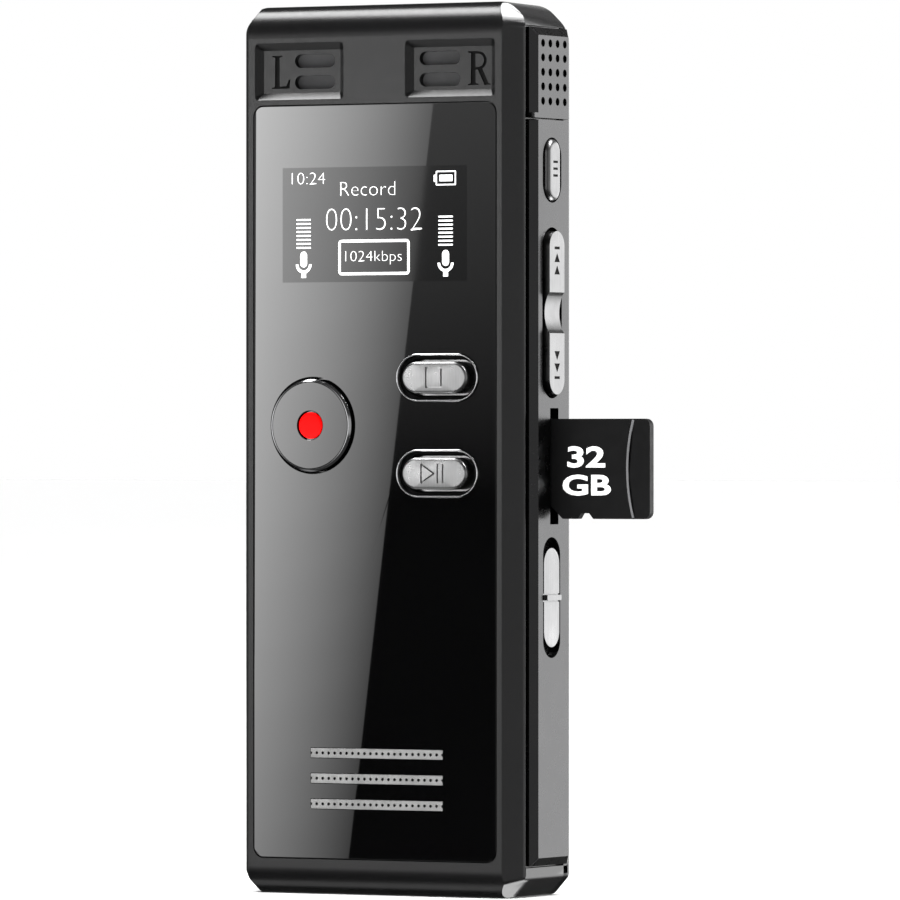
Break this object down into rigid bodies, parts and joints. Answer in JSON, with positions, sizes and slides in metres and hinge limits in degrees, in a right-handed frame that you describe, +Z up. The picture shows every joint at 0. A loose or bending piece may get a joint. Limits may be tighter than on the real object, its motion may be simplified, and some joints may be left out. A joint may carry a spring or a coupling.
{
  "type": "handheld voice recorder",
  "caption": "Slim handheld voice recorder with a glossy front window, record, stop and play keys, side controls, and a memory card partly pushed into its side slot.",
  "frame": {"origin": "middle of the flat lower end of the case, where it stands upright", "axes": "+Z up along the length, the front face looks along -Y, +X is the side with the controls and the memory card"},
  "size_m": [0.0487, 0.0142, 0.098],
  "materials": {
    "case_paint": "matte black paint on a metal case",
    "rail_metal": "satin grey anodised",
    "window_gloss": "gloss",
    "key_silver": "satin silver",
    "bezel_chrome": "polished",
    "record_cap": "satin",
    "record_red": "gloss",
    "grille_metal": "satin",
    "board_green": "satin solder mask",
    "component_black": "matte",
    "plain_steel": "satin",
    "gasket_rubber": "matte",
    "foam": "matte",
    "battery_foil": "satin",
    "flex_film": "satin",
    "card_black": "matte"
  },
  "bodies": {
    "case": {"front_shell": "case_paint", "rear_cover": "case_paint", "right_rail": "rail_metal", "left_rail": "rail_metal", "mic_grille": "rail_metal", "window_panel": "window_gloss", "stop_bezel": "bezel_chrome", "stop_switch": "component_black", "play_bezel": "bezel_chrome", "play_switch": "component_black", "speaker_grille_1": "grille_metal", "speaker_grille_2": "grille_metal", "speaker_grille_3": "grille_metal", "rocker_pin": "plain_steel", "card_socket": "plain_steel", "main_board": "board_green", "key_board": "board_green", "record_switch": "component_black", "menu_switch": "component_black", "rocker_switch_upper": "component_black", "rocker_switch_lower": "component_black", "slide_switch": "component_black", "display_module": "component_black", "display_flex": "flex_film", "key_flex": "flex_film", "battery": "battery_foil", "battery_pad": "foam", "speaker": "component_black", "speaker_gasket": "foam", "headphone_jack": "component_black", "microphone_jack": "component_black", "usb_port": "plain_steel", "left_microphone": "plain_steel", "right_microphone": "plain_steel", "left_mic_gasket": "gasket_rubber", "right_mic_gasket": "gasket_rubber", "side_microphone": "plain_steel", "side_mic_gasket": "gasket_rubber", "cover_screw_1": "plain_steel", "cover_screw_2": "plain_steel", "cover_screw_3": "plain_steel", "cover_screw_4": "plain_steel", "board_screw_1": "plain_steel", "board_screw_2": "plain_steel"},
    "record_key": {"record_button": "record_cap", "record_mark": "record_red"},
    "stop_key": {"stop_button": "key_silver"},
    "play_key": {"play_button": "key_silver"},
    "menu_key": {"menu_button": "key_silver"},
    "rocker_key": {"rocker": "key_silver"},
    "power_knob": {"slide_knob": "key_silver"},
    "card": {"memory_card": "card_black"}
  },
  "joints": [
    {"name": "record_press", "type": "slide", "parent": "case", "child": "record_key", "axis": [0, 1, 0], "range_m": [0, 0.0003], "stiffness_N_per_m": 400},
    {"name": "stop_press", "type": "slide", "parent": "case", "child": "stop_key", "axis": [0, 1, 0], "range_m": [0, 0.0003], "stiffness_N_per_m": 400},
    {"name": "play_press", "type": "slide", "parent": "case", "child": "play_key", "axis": [0, 1, 0], "range_m": [0, 0.0003], "stiffness_N_per_m": 400},
    {"name": "menu_press", "type": "slide", "parent": "case", "child": "menu_key", "axis": [-1, 0, 0], "range_m": [0, 0.0003], "stiffness_N_per_m": 400},
    {"name": "rocker_tilt", "type": "hinge", "parent": "case", "child": "rocker_key", "pos_m": [0.0169, 0.00065, 0.064], "axis": [0, 1, 0], "range_deg": [-2, 2], "stiffness_Nm_per_rad": 0.02},
    {"name": "power_slide", "type": "slide", "parent": "case", "child": "power_knob", "axis": [0, 0, 1], "range_m": [-0.0011, 0.0011]},
    {"name": "card_slide", "type": "slide", "parent": "case", "child": "card", "axis": [1, 0, 0], "range_m": [-0.0116, 0.003]}
  ]
}
